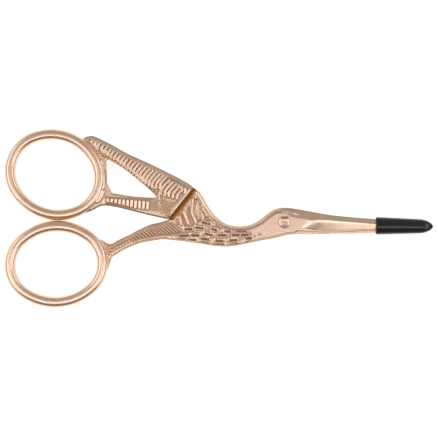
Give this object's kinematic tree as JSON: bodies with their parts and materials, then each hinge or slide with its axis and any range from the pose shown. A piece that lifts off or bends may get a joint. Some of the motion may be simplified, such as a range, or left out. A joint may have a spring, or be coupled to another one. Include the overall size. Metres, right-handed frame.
{
  "type": "stork embroidery scissors",
  "caption": "Small needlework scissors shaped as a stork, the blades its beak, with wing and legs leading to finger bows, and a black push-on tip guard.",
  "frame": {"origin": "centre of the overall box in plan, on the plane that the back rests on, with the scissors closed and the tip guard on", "axes": "+X along the scissors towards the blade tips, +Y across towards the wing and the upper finger bow, +Z through the thickness towards the side with the screw head"},
  "size_m": [0.1159, 0.0484, 0.0036],
  "materials": {
    "plated_steel": "polished champagne gold plating",
    "screw_steel": "polished champagne gold plating",
    "black_vinyl": "glossy soft black vinyl"
  },
  "bodies": {
    "front": {"front_half": "plated_steel"},
    "rear": {"rear_half": "plated_steel", "pivot_screw": "screw_steel"},
    "guard": {"tip_cap": "black_vinyl"}
  },
  "joints": [
    {"name": "blade_hinge", "type": "hinge", "parent": "front", "child": "rear", "pos_m": [0.0177, -0.001, 0.0018], "axis": [0, 0, -1], "range_deg": [0, 35]},
    {"name": "guard_pull", "type": "slide", "parent": "front", "child": "guard", "axis": [0.995, -0.0995, 0], "range_m": [0, 0.104]}
  ],
  "couplings": [
    {"joint": "guard_pull", "follows": "blade_hinge", "m_per_rad": 0.17}
  ]
}
